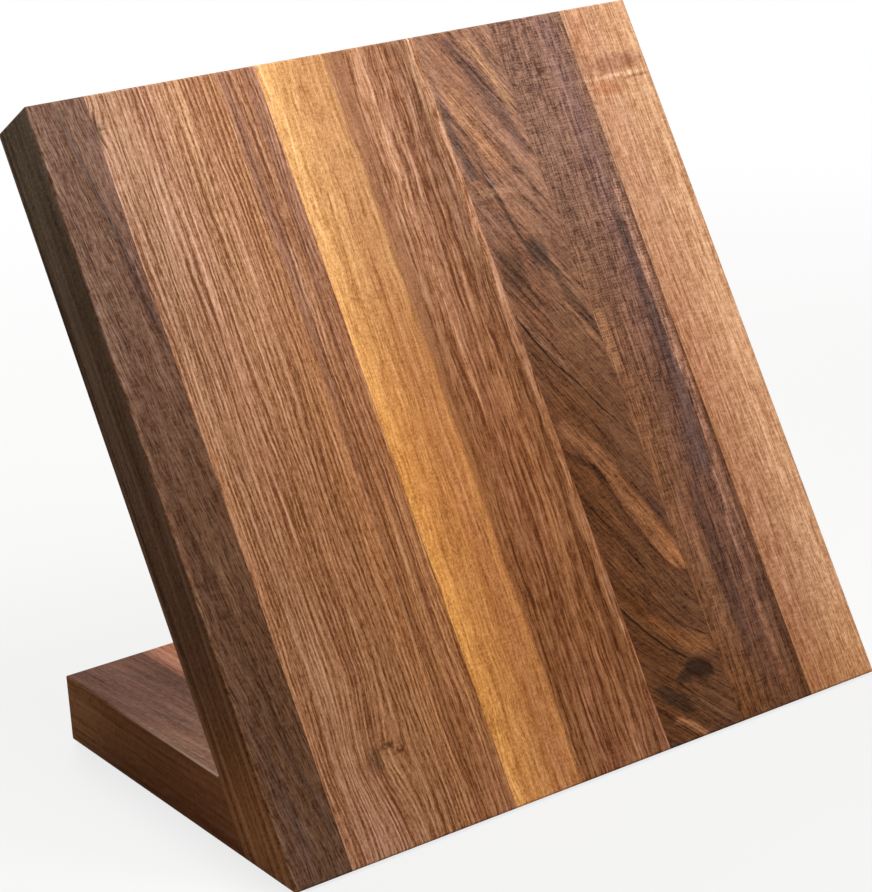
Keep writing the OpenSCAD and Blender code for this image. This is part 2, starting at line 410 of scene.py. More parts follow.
def facings(tree, board):
    # How far a point's surface faces sideways, out of the board's front and along the grain
    normal = put(tree, "TexCoord", {}).outputs["Normal"]
    lean = radians(board["turn"])
    shares = []
    for direction in ((1, 0, 0), (0, -cos(lean), sin(lean)), (0, sin(lean), cos(lean))):
        turned = put(tree, "VectorMath", {0: normal, 1: direction}, operation="DOT_PRODUCT")
        shares.append(calc(tree, "ABSOLUTE", turned.outputs["Value"]))
    return shares


def groundColour(tree, stave, board, wood, x, u):
    # The stave's colours across it, from those at the foot to those at the top, which also carry a
    # painted sheen over the upper part of the panel
    placed = x
    if "side" in stave:
        # Beside the left edge they run straight
        straight = split(tree, wood)[0]
        share = remap(tree, straight, *walnut["straightEdge"])
        shift = calc(tree, "MULTIPLY", calc(tree, "SUBTRACT", x, straight), share)
        placed = calc(tree, "ADD", straight, shift)
    footColours = spread(tree, placed, [(place, low) for place, low, high in stave["colours"]])
    topColours = spread(tree, placed, [(place, high) for place, low, high in stave["colours"]])
    start, end = (share * board["length"] for share in walnut["topColours"])
    return mixColour(tree, remap(tree, u, start, end, smooth=True), footColours, topColours)


def addFigure(tree, stave, wood, lines, shown):
    # Patches and strokes, with rims that follow the grain a little
    seed = stave["seed"] + seedShift["ragged"]
    wavering = calc(tree, "SUBTRACT", stretched(tree, wood, *walnut["raggedSize"], seed), 0.5)
    uneven = calc(tree, "SUBTRACT", lines, 1.0)
    uneven = calc(tree, "MULTIPLY_ADD", wavering, walnut["ragged"], uneven)
    push = (walnut["raggedPush"], 0, 0)
    ragged = vectorCalc(tree, "MULTIPLY_ADD", join(tree, uneven, 0, 0), push, wood)
    for x, u, wide, long, tilt, amount, code in stave.get("patches", []):
        near = around(tree, ragged, (x, 0, u), (wide, walnut["patchDepth"], long), tilt)
        near = remap(tree, near, 0, walnut["patchRim"], 0, amount, smooth=True)
        shown = mixColour(tree, near, shown, colour(code))
    for amount, first, last, path in stave.get("strokes", []):
        near, passed = along(tree, ragged, path, amount)
        paint = colour(first)
        if first != last:
            paint = mixColour(tree, passed, paint, colour(last))
        shown = mixColour(tree, near, shown, paint)
    return shown


def darkenEnds(tree, stave, wood, endways, shown):
    # Where the grain ends it is darker, and glue lines are thin and dark
    left = remap(tree, endways, *walnut["endFacing"], 1.0, walnut["endGrain"])
    across = split(tree, wood)[0]
    width = walnut["glueWidth"]
    middle = walnut["glueMiddle"] * width
    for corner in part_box(stave["piece"]):
        limit = 1000 * corner[0] + block["width"] / 2
        # The block's own sides have no glue line
        if 1 < limit < block["width"] - 1:
            gap = calc(tree, "ABSOLUTE", calc(tree, "SUBTRACT", across, limit))
            glue = remap(tree, gap, middle, width, walnut["glueShade"], 1.0)
            left = calc(tree, "MULTIPLY", left, glue)
    return mixColour(tree, 1.0, shown, join(tree, left, left, left), "MULTIPLY")


def nearEdge(tree, wood, board):
    # How near a point is to the board's outer edges: the second nearest of its faces
    x, n, u = split(tree, wood)
    side = calc(tree, "MINIMUM", x, calc(tree, "SUBTRACT", block["width"], x))
    behindFront = calc(tree, "SUBTRACT", n, board["front"])
    beforeBack = calc(tree, "SUBTRACT", board["back"], n)
    deep = calc(tree, "MINIMUM", behindFront, beforeBack)
    end = calc(tree, "SUBTRACT", board["length"], u)
    least = calc(tree, "MINIMUM", side, deep)
    most = calc(tree, "MAXIMUM", side, deep)
    return calc(tree, "MAXIMUM", least, calc(tree, "MINIMUM", most, end))


def wearAndArrisHighlight(tree, stave, board, wood, shown):
    # Outer edges are rubbed here and there, and the base's left top arris gets a painted highlight
    rim = nearEdge(tree, wood, board)
    edge = remap(tree, rim, walnut["wearWidth"], 0, 0, walnut["wear"])
    seed = stave["seed"] + seedShift["wear"]
    patchy = stretched(tree, wood, *walnut["wearSize"], seed)
    edge = calc(tree, "MULTIPLY", edge, remap(tree, patchy, *walnut["wearPatches"]))
    shown = mixColour(tree, edge, shown, colour(stave.get("worn", walnut["worn"])))
    if "arrisHighlight" in stave:
        # A painted highlight makes the left top edge of the base pale towards the panel, where its
        # rounded arris catches the light
        amount, code, start, end = stave["arrisHighlight"]
        reach = walnut["arrisReach"]
        x, n, u = split(tree, wood)
        pale = remap(tree, rim, *walnut["arrisWidth"])
        pale = calc(tree, "MULTIPLY", pale, remap(tree, u, start, end, 0, amount))
        leftTop = calc(tree, "LESS_THAN", calc(tree, "MAXIMUM", x, n), reach)
        pale = calc(tree, "MULTIPLY", pale, leftTop)
        pale = calc(tree, "MULTIPLY", pale, calc(tree, "LESS_THAN", n, board["front"] + reach))
        shown = mixColour(tree, pale, shown, colour(code))
    return shown


def makeWalnut(stave, board, foot):
    made, tree, shader = newMaterial(stave["piece"] + "_walnut")
    wood = grainSpace(tree, board["turn"], foot)
    bent = swayed(tree, stave, wood)
    x, n, u = split(tree, bent)
    grown = join(tree, growthLines(tree, stave, bent), n, u)
    sideways, frontways, endways = facings(tree, board)
    sideways = remap(tree, sideways, *walnut["sideFacing"])

    lines = grainTone(tree, stave, grown)
    if "side" in stave:
        change = calc(tree, "SUBTRACT", sideTone(tree, stave, bent), lines)
        lines = calc(tree, "MULTIPLY_ADD", change, sideways, lines)
    tone = rippled(tree, stave, grown, lines, u)

    shown = groundColour(tree, stave, board, wood, x, u)
    powers = [calc(tree, "POWER", tone, keep) for keep in stave.get("keeps", walnut["keeps"])]
    toned = put(tree, "CombineColor", dict(enumerate(powers))).outputs[0]
    shown = addFigure(tree, stave, wood, lines, shown)
    # The side colours take over on the outer side of an end stave; on panel stave 1 they hold a
    # painted sheen at the top and a painted warm floor bounce at the foot
    if "side" in stave:
        shown = mixColour(tree, sideways, shown, spread(tree, u, stave["side"]))
    # Painted floor light: the footLightTint factors tint the colour near the foot
    if "footLightTint" in stave:
        low = remap(tree, u, *walnut["footLightHeight"])
        shown = mixColour(tree, low, shown, (*stave["footLightTint"], 1), "MULTIPLY")
    shown = mixColour(tree, 1.0, shown, toned, "MULTIPLY")
    shown = darkenEnds(tree, stave, wood, endways, shown)
    # Rubbed edges, and a painted highlight on the base's left top arris
    shown = wearAndArrisHighlight(tree, stave, board, wood, shown)

    plug(tree, shader.inputs["Base Color"], shown)
    roughnesses = [walnut["roughness"] + change for change in walnut["roughChange"]]
    rough = remap(tree, tone, *walnut["roughTones"], *roughnesses)
    plug(tree, shader.inputs["Roughness"], rough)
    shines = board["sideShine"], board["shine"]
    shine = remap(tree, frontways, *walnut["frontFacing"], *shines)
    plug(tree, shader.inputs["Specular IOR Level"], shine)
    bumps = {"Height": tone, "Strength": walnut["bump"], "Distance": walnut["bumpHeight"]}
    bump = put(tree, "Bump", bumps)
    plug(tree, shader.inputs["Normal"], bump.outputs[0])
    return made


panel = {
    "turn": 90 - block["lean"], "front": 0, "back": block["thickness"],
    "length": block["panelLength"], "shine": 0.05, "sideShine": 0.004,
}
base = {
    "turn": 90, "front": -block["thickness"], "back": 0, "length": block["baseDepth"],
    "shine": 0.018, "sideShine": 0.003,
}

panelStaves = [
    {
        "piece": "panel_stave_1", "seed": 1.0, "wander": 2.0, "wavy": (1.3, 13), "drift": 0.1,
        # footLightTint: painted floor light near the foot
        "floor": 0.35, "keeps": (0.86, 1.08, 1.3), "footLightTint": (1.08, 1.12, 1.26),
        "worn": "5f3d28",
        "colours": [
            (0, "4e2a17", "563325"), (0.9, "734f37", "7e5e4d"), (1.6, "7a573f", "846351"),
            (2.4, "714e38", "81604d"), (3.3, "694733", "7d5c49"), (6, "674632", "795848"),
            (14, "684731", "755441"), (26, "684630", "795646"),
        ],
        # Greyer at the top for a painted sheen, redder at the foot for a painted warm floor bounce
        "side": [
            (0, "8e5a35"), (30, "8c5933"), (67, "744a2c"), (110, "6a4731"), (175, "6f513c"),
            (235, "6d533f"), (290, "856f5a"), (320, "88735f"),
        ],
        "bands": [(0.5, 5, 1.75), (0.7, 10, 1), (0.9, 35, 0.8), (1.6, 60, 0.6), (6, 60, 0.4)],
        "sideBands": [(0.5, 6, 0.6), (0.8, 30, 0.6), (1.8, 90, 0.9), (3.6, 160, 1.4)],
        "ripples": [(3, 0.6, 0.4, 0.4), (3, 1.5, 0.5, 0.5), (0.45, 1.3, 0.85, 0.85)],
        "swings": [(26, 306, 7, 10, -2, 27)],
        "strokes": [
            (0.75, "583e30", "604331", [(12.5, 5, 1.5), (9.5, 30, 2.4), (7.5, 50, 2), (5, 65, 1.2),
                (2.5, 85, 0.6)]),
            (0.75, "5b3e2e", "5a3b27", [(24, 10, 1), (22, 25, 1.8), (19.5, 40, 1.8),
                (16.5, 50, 1.5), (14.5, 75, 1.2), (12, 95, 1.2), (11, 115, 1.2), (10.3, 128, 1),
                (6, 150, 1.1), (4, 170, 1), (2.5, 195, 0.6)]),
            (0.75, "5d3e2b", "654a3c", [(23, 95, 0.7), (20, 120, 1), (18, 150, 1.2),
                (17, 172, 1.2), (14.5, 185, 1.1), (11, 200, 1.1), (9, 215, 1.1), (6.5, 240, 1.1),
                (4.5, 265, 0.9), (3, 280, 0.5)]),
            (0.85, "5d4337", "634a3e", [(24.5, 215, 1), (23, 230, 1.8), (20.6, 255, 2.1),
                (18.1, 280, 1.6), (14.2, 301, 1.4), (12, 318, 1.1)]),
        ],
        "patches": [
            (26, 304, 5, 6, 0, 0.35, "4c382d"), (7, 238, 6, 42, 0, 0.4, "8a6750"),
        ],
    },
    {
        "piece": "panel_stave_2", "seed": 2.0, "wander": 1.2, "wavy": (0.8, 14),
        "rows": (2.1, 0.3), "floor": 0.34, "footLightTint": (1.08, 1.12, 1.26),
        "colours": [
            (26, "ab744e", "a8795c"), (36, "a57250", "a67859"), (50, "a56f4c", "ad7b5d"),
            (66, "a16b45", "b2805a"), (73, "9d6842", "ac7855"), (84, "ab7147", "ad7852"),
            (85.5, "a66e46", "a97551"), (87, "945b36", "936449"), (90, "965f39", "93654c"),
            (92, "9c653e", "9c6a4b"), (96, "a16841", "a16d4b"), (99, "9d653f", "99694d"),
            (103, "a16840", "99694e"), (104.5, "b57a4b", "a5745a"),
        ],
        "bands": [(0.5, 4, 1.35), (0.6, 30, 1.15), (0.9, 60, 1), (1.4, 140, 0.6), (6, 60, 0.3)],
        "ripples": [(3, 0.6, 0.35, 0.35), (0.45, 1.1, 0.9, 0.9)],
        "swings": [(56, 38, 34, 36, 4.5, 68), (26, 306, 8, 12, 2, 60)],
        "strokes": [
            (0.75, "935f37", "875b46", [(87.3, 5, 1.2), (87.5, 60, 1.4), (87, 110, 1.3),
                (88.8, 150, 1.6), (88.8, 190, 2), (88.7, 235, 1.9), (88.8, 262, 1.6),
                (89.2, 315, 1.2)]),
            (0.85, "895432", "845943", [(96, 52, 0.5), (97, 90, 0.8), (97.5, 120, 0.9),
                (97.5, 160, 1), (97.8, 200, 1.2), (98.5, 240, 1.2), (99.5, 280, 1.4),
                (100, 315, 1.2)]),
            (0.7, "c08252", "aa734c", [(99.8, 15, 0.6), (100, 60, 1.2), (100, 110, 1.2),
                (100.2, 150, 0.8)]),
            (0.7, "ac734a", "ad7f61", [(94, 60, 0.5), (94.2, 110, 0.9), (93.2, 150, 0.9),
                (92.6, 190, 1.1), (93, 230, 1), (94.5, 270, 0.9), (96, 312, 0.7)]),
        ],
        "patches": [
            (45, 42, 12, 6, 0, 0.3, "bd8a62"), (51, 37, 6, 7.5, 15, 0.65, "6c4a30"),
            (54.3, 53, 1.6, 15, 4, 0.45, "80543c"), (57.5, 33, 2.4, 10, -25, 0.45, "c48a58"),
            (57.2, 41.2, 4.6, 1.9, -8, 0.8, "68401f"), (59.2, 41.2, 2.4, 1.6, 0, 0.6, "4c2a14"),
            (57.2, 41, 1, 0.7, 0, 0.8, "b08050"), (63.4, 41.5, 2.4, 1.6, 0, 0.4, "6a4228"),
            (63.2, 38.2, 2.2, 2.1, 20, 0.9, "552a10"), (63.6, 38.7, 0.9, 0.7, 0, 0.7, "a46c44"),
            (26, 305, 4.8, 10.5, 0, 0.8, "5e402b"), (28, 305.2, 2.4, 1.1, 0, 0.6, "4e3325"),
            (30.5, 309, 1, 7, 18, 0.5, "8f6144"), (31, 304.2, 3.4, 0.8, 0, 0.4, "d09a70"),
        ],
    },
    {
        "piece": "panel_stave_3", "seed": 3.0, "wander": 1.0, "wavy": (2.0, 15), "drift": -0.03,
        "rows": (2.3, 0.1), "calm": (137.5, 0.44), "floor": 0.32, "footLightTint": (1.08, 1.12, 1.28),
        "colours": [
            (104, "dc944e", "d3985e"), (105.5, "e8a156", "dea367"), (109.5, "e59e55", "e1a869"),
            (112, "d38d4b", "cf965c"), (122, "cb884c", "cb945e"), (124.5, "c07c43", "c48a59"),
            (129, "c17e4b", "bf8756"), (137, "c17f47", "c08a58"), (138.5, "965e37", "a3704b"),
            (143, "8d5934", "996849"), (152, "955e3b", "ab7855"), (158, "8e5837", "9d6c4e"),
            (168, "9a633d", "9b6a4c"), (173, "8f5b39", "8c6046"), (179, "845330", "976b4c"),
            (181.5, "a7704b", "ba8868"), (184, "945c3a", "ac7b5d"),
        ],
        "bands": [
            (0.5, 5, 1), (0.8, 12, 1.2), (0.8, 25, 1), (1.3, 30, 1.05), (1.8, 60, 0.85),
            (1.6, 5, 0.7),
        ],
        "ripples": [(3, 0.6, 0.35, 0.35), (0.45, 1.1, 0.8, 0.8)],
        "strokes": [
            (0.8, "875333", "885431", [(146, 36, 0.6), (147.2, 45, 1), (150.2, 65, 1.1),
                (152.9, 90, 1.1), (153.6, 110, 0.6)]),
            (0.7, "945d35", "8a5831", [(159.5, 50, 0.6), (160.6, 60, 0.9), (163.5, 84, 1),
                (164.4, 110, 0.6)]),
            (0.8, "784929", "7e4d2d", [(169, 35, 0.6), (170, 60, 1), (171.8, 110, 0.8)]),
            (0.85, "734426", "774b2e", [(172.4, 5, 1), (174, 40, 1.2), (176.3, 65, 1.2),
                (177, 90, 1.2), (178, 115, 1.2), (178.6, 150, 1.1), (177.8, 185, 1),
                (178, 215, 0.8)]),
            (0.8, "b97f56", "bc8a69", [(153.6, 150, 0.5), (153.8, 170, 0.8), (154.2, 215, 0.7),
                (154.6, 265, 0.8), (154.8, 316, 0.6)]),
            (0.75, "865439", "83543c", [(165.5, 222, 0.6), (165.5, 240, 1.2), (165.3, 262, 0.9),
                (165.3, 275, 1.2), (165.5, 290, 0.5)]),
            (0.75, "835641", "805640", [(178, 218, 0.7), (177.4, 238, 1.4), (176, 262, 1.1),
                (175.8, 290, 1), (175.5, 305, 0.5)]),
        ],
        "patches": [
            (182, 12, 2.4, 36, 0, 0.6, "7e4c2f"), (182, 70, 1.8, 15, 0, 0.6, "865a3c"),
            (182, 174, 1.8, 26, 0, 0.6, "8c6045"), (182, 238, 1.8, 30, 0, 0.6, "cf9673"),
        ],
    },
    {
        "piece": "panel_stave_4", "seed": 4.0, "wander": 8.0, "drift": 0.48, "curl": (49, 1.05),
        "keeps": (0.94, 1.04, 1.08),
        "colours": [
            (183, "643c23", "8e654e"), (196, "684025", "8e624a"), (210, "6b452c", "906751"),
            (223.5, "6e4730", "916953"),
        ],
        "bands": [
            (0.5, 5, 1.3), (0.8, 14, 0.8), (1.2, 25, 0.7), (2.2, 50, 0.75), (5, 50, 0.5),
            (6, 15, 0.5),
        ],
        "ripples": [(3, 0.6, 0.4, 0.4), (3, 1.5, 0.5, 0.5), (0.45, 1.1, 1.2, 1.2)],
        "strokes": [
            (0.8, "a37353", "9f7051", [(207, 254, 3), (203, 260, 5), (197, 275, 5.5),
                (193, 292, 5), (192, 296, 3)]),
            (0.75, "8f654d", "8d644c", [(210, 228, 4), (206, 237, 6), (202, 246, 4)]),
            (0.75, "835d4b", "835d4b", [(183, 232, 7), (192, 233, 8), (200, 231, 5)]),
            (0.75, "634a40", "61483f", [(187, 262, 2), (186, 272, 2.3), (185.8, 285, 2),
                (185.5, 296, 1)]),
            (0.8, "5a453d", "59443c", [(189.5, 251, 1.6), (188.6, 259, 3.3), (187.5, 267, 1)]),
            (0.8, "846253", "836253", [(198, 244.5, 2), (196.5, 251, 3.4), (195, 258, 1)]),
            (0.85, "705044", "6d4e42", [(222.5, 257, 2.5), (218.4, 266, 3), (213.8, 279, 3.3),
                (211, 289, 3.5), (206.5, 300, 3.6), (201.5, 310, 3.2), (197.5, 319, 2.5)]),
            (0.85, "a97d5c", "ae815f", [(222.5, 281, 2), (219, 288, 2.3), (216.5, 297, 2.5),
                (213.5, 307, 2.5), (208.5, 317, 2)]),
            (0.7, "6b4d3e", "6b4d3e", [(222.5, 290, 0.7), (218.4, 302, 0.9), (214.7, 314.5, 0.6)]),
            (0.75, "6e503f", "6c4e3d", [(198.4, 254.5, 0.6), (195, 261, 1), (193.4, 269, 1),
                (191, 275.5, 0.9), (189.3, 283.6, 0.6)]),
            (0.75, "735342", "705140", [(222.5, 223, 0.7), (219.3, 231.8, 0.9), (216.5, 241.8, 1),
                (213.8, 254.5, 0.9), (209.3, 263.6, 0.8), (204.7, 271, 0.6)]),
            (0.8, "573929", "4c3528", [(184, 212, 10), (192, 212, 11), (200, 210, 8)]),
            (0.8, "43312a", "43312a", [(201, 217, 6), (208, 216, 9), (214, 213, 5)]),
            (0.75, "6e4a37", "6c4836", [(221.5, 201, 3), (218, 212, 4.5), (215, 225, 2.5)]),
            (0.85, "4d3529", "4a3328", [(206.5, 211, 0.7), (204.7, 215.5, 1), (201.5, 224.5, 1.1),
                (199.3, 233.6, 1.2), (196.5, 245.5, 1.1), (193, 262, 0.7)]),
            (0.5, "a0785c", "a0785d", [(184, 247, 0.8), (192, 246.5, 1.8), (202, 246, 1.8),
                (213, 245, 0.8)]),
            (0.6, "604136", "604135", [(184, 242.5, 0.8), (190, 242.5, 1.5), (197, 243, 0.8)]),
            (0.85, "5e4230", "5c402f", [(222.5, 177, 2.5), (219, 184, 3.6), (215.5, 194, 3.2),
                (213.5, 204, 2.2), (209.5, 213, 1)]),
            (0.9, "8a6045", "875d43", [(223, 171, 3), (218.4, 178.6, 2.8), (213, 187.7, 2.2),
                (210, 196, 1.8), (208.4, 201, 1.5), (203.4, 214, 0.8)]),
            (0.8, "896048", "875e46", [(203.8, 162, 0.6), (198.4, 170.5, 1.1), (193.8, 176, 1.2),
                (187.5, 187.7, 1.1), (184.7, 193, 0.8)]),
            (0.9, "271a12", "251810", [(223, 128.5, 0.4), (216.5, 136.8, 0.5), (212, 144, 0.5),
                (205.6, 154, 0.5), (201, 160.5, 0.5), (196.5, 167.7, 0.5), (189.3, 180.5, 0.5),
                (183.5, 192, 0.35)]),
            (0.7, "725039", "714f38", [(203.8, 164, 0.5), (200, 171.4, 0.8), (195.6, 177.7, 0.8),
                (191, 184, 0.5)]),
            (0.65, "85553c", "84543b", [(203, 176, 0.6), (198.4, 183, 0.9), (193.8, 190.5, 0.9),
                (190, 197.7, 0.6)]),
            (0.65, "6c4d38", "6b4c38", [(210, 180.5, 0.5), (206.5, 183, 0.8), (202, 188.6, 0.8),
                (199, 195, 0.5)]),
            (0.6, "724c36", "6e4a34", [(218, 104, 3), (217, 112, 5.5), (216, 126, 6),
                (214, 142, 3)]),
            (0.92, "a66c44", "7e5236", [(223, 68, 3.4), (220, 75, 5.2), (216, 85, 6),
                (212, 95, 5.4), (207.5, 105, 5), (205, 113, 5.2), (203, 121.5, 5.8), (197, 130, 6),
                (192, 137, 5.2), (186, 147, 3)]),
            (0.92, "6a3f29", "462919", [(223, 65, 0.8), (218.4, 70, 1.1), (212.9, 76.4, 1.1),
                (209.7, 83.6, 1.1), (207.5, 90, 1.2), (203.8, 96.4, 1.1), (200.5, 107, 1.1),
                (198.5, 116, 1.1), (195, 122, 1.2), (192.5, 124, 2), (190, 126, 3.2),
                (187.5, 129, 1.8), (184, 133, 0.7)]),
            (0.7, "593d32", "583c31", [(222.5, 91, 2), (219.5, 98, 2.4), (217, 105, 1)]),
            (0.8, "4d2e1e", "4b2d1e", [(222.5, 91, 0.8), (218.4, 98, 0.9), (215.6, 104.5, 0.6)]),
            (0.7, "4a2b18", "4a2b18", [(206.5, 120.5, 0.5), (203.8, 125, 0.8), (200, 129.5, 0.5)]),
            (0.7, "74432b", "74432b", [(187.5, 114.5, 0.8), (193, 114, 2), (200, 113, 0.8)]),
            (0.9, "6d4122", "52311a", [(198, 52, 3.6), (194, 58, 4), (190, 65, 3.2),
                (187.5, 71, 2.7), (183.5, 81, 1.5)]),
            (0.92, "824f2b", "96623e", [(194, 57.5, 3), (199, 51, 4.2), (205, 44, 5),
                (211, 40, 5.5), (217, 37.5, 5), (224, 37, 4)]),
            (0.92, "2d1605", "2b1504", [(208.4, 32.7, 0.7), (204.7, 36.4, 0.9), (200, 40.5, 0.9),
                (195.6, 45.5, 0.9), (191, 51, 0.9), (187.5, 56.4, 0.9), (183.5, 63, 0.7)]),
            (0.8, "4d2c17", "4a2a15", [(222.5, 40, 0.5), (219, 42, 0.8), (213.8, 46, 0.8),
                (208, 52, 0.8), (200, 61, 0.7), (193.8, 75.5, 0.5)]),
            (0.92, "332015", "332015", [(204, 30, 1.5), (208, 29, 4.6), (212, 28, 6.3),
                (216, 27, 4.4), (219, 26, 1.5)]),
            (0.8, "3a281b", "3a281a", [(198, 25, 1), (203, 27, 3), (208, 28, 3.5)]),
            (0.88, "412d1e", "412c1d", [(202, 10, 1.4), (198, 16, 5.4), (194, 21, 6),
                (188, 28, 1.6)]),
            (0.92, "a26d49", "a26e4a", [(189, 11, 1.2), (196, 9.5, 2.4), (202, 3, 2.8),
                (206, -1, 2.6)]),
            (0.8, "593d25", "593d25", [(183.5, 10.5, 0.5), (189, 7, 0.7), (193, 3.6, 0.5)]),
            (0.8, "55463a", "55463a", [(184, 2, 1), (186, 2, 1.7), (188, 2, 0.8)]),
            (0.7, "64442e", "63432e", [(219, 1, 0.8), (212, 8, 0.9), (205.6, 13.6, 0.9),
                (200, 20, 0.6)]),
            (0.6, "7e573c", "7d563b", [(220, 2, 1.4), (215, 8, 1.7), (209, 14, 1.7),
                (204, 20, 1)]),
        ],
    },
    {
        "piece": "panel_stave_5", "seed": 5.0, "wander": 2.0, "drift": -0.03,
        "weave": (1.3, 0.16), "floor": 0.33, "keeps": (0.94, 1.04, 1.02),
        "footLightTint": (0.97, 0.88, 0.68),
        "colours": [
            (223, "805438", "815c4a"), (229, "81563a", "805d4c"), (236, "80563d", "805d4d"),
            (244, "795240", "85604f"), (250, "795240", "836054"), (255, "724d3c", "7f5e53"),
            (258, "6c4836", "7a584b"), (262.5, "6b4633", "84604c"),
        ],
        "bands": [
            (0.5, 5, 1.15), (0.6, 35, 1), (1.2, 20, 0.8), (1.6, 5, 0.7), (6, 60, 0.6), (6, 15, 0.3),
        ],
        "ripples": [(5, 0.7, 0.5, 0.75), (3, 1.5, 0.55, 0.5), (0.45, 1.1, 1.2, 1.2)],
        "strokes": [
            (0.65, "ae7c57", "aa7955", [(226, 155, 2), (226, 172, 3.3), (225, 192, 1.5)]),
            (0.6, "614842", "5f4640", [(248, 103, 3), (249, 118, 6), (250, 134, 3)]),
            (0.85, "624841", "5f473f", [(251, 98, 1.5), (253.5, 124, 3.6), (254, 170, 3.8),
                (254, 215, 3.3), (254, 232, 1.5)]),
            (0.8, "674738", "5d3f32", [(240, 18, 2), (241, 46, 4.5), (241.5, 70, 5),
                (242, 92, 4.2), (243, 110, 1.5)]),
            (0.8, "a27056", "ac8068", [(259, 54, 0.4), (259.2, 82, 1.2), (259.2, 110, 1.9),
                (259, 160, 2.3), (259.2, 215, 2), (259.2, 250, 0.6)]),
            (0.6, "8e5737", "814e31", [(261.2, 95, 0.3), (261.2, 160, 0.6), (261.2, 235, 0.3)]),
            (0.6, "7c5033", "754c30", [(225.5, 32, 2.4), (225.5, 55, 3.4), (225, 78, 1.8)]),
            (0.85, "986647", "865c44", [(231, 32, 1.4), (231.5, 55, 2.7), (232, 80, 2.9),
                (233.2, 96, 3.2), (234, 107, 1.2)]),
            (0.85, "906247", "a97a64", [(252.5, -1, 1.8), (252.5, 20, 2.1), (252.5, 60, 2.1),
                (254.5, 83, 2), (255.5, 98, 1.9), (256, 110, 0.8)]),
        ],
    },
    {
        "piece": "panel_stave_6", "seed": 6.0, "wander": 1.5, "rows": (1.9, 0.05), "floor": 0.5,
        "keeps": (0.79, 1.11, 1.32), "footLightTint": (0.92, 0.84, 0.7),
        "colours": [
            (262, "b67d56", "b38566"), (270, "c18764", "c08b69"), (279, "c68f68", "bf8e6d"),
            (284, "d19a73", "c6946e"), (292, "dba37a", "c99771"), (300, "dba47a", "c8966f"),
        ],
        "bands": [
            (0.5, 5, 0.7), (0.7, 12, 0.8), (0.7, 80, 0.55), (1.6, 5, 0.45), (1.6, 200, 0.25),
            (3, 120, 0.2),
        ],
        "ripples": [(3, 0.6, 0.35, 0.35), (3, 1.5, 0.4, 0.4), (0.45, 1.1, 0.8, 0.8)],
        "patches": [
            (283, 292, 24, 6, -2, 0.7, "9c6a52"), (280, 286.2, 28, 1.3, -1, 0.6, "dfb08c"),
            (292, 284.4, 12, 1, -3, 0.6, "8a563c"), (274, 281, 16, 5, 2, 0.5, "b4754c"),
            (266, 300, 5, 14, 0, 0.3, "b07850"), (292, 86, 10, 3, -25, 0.3, "b07c5c"),
        ],
    },
]

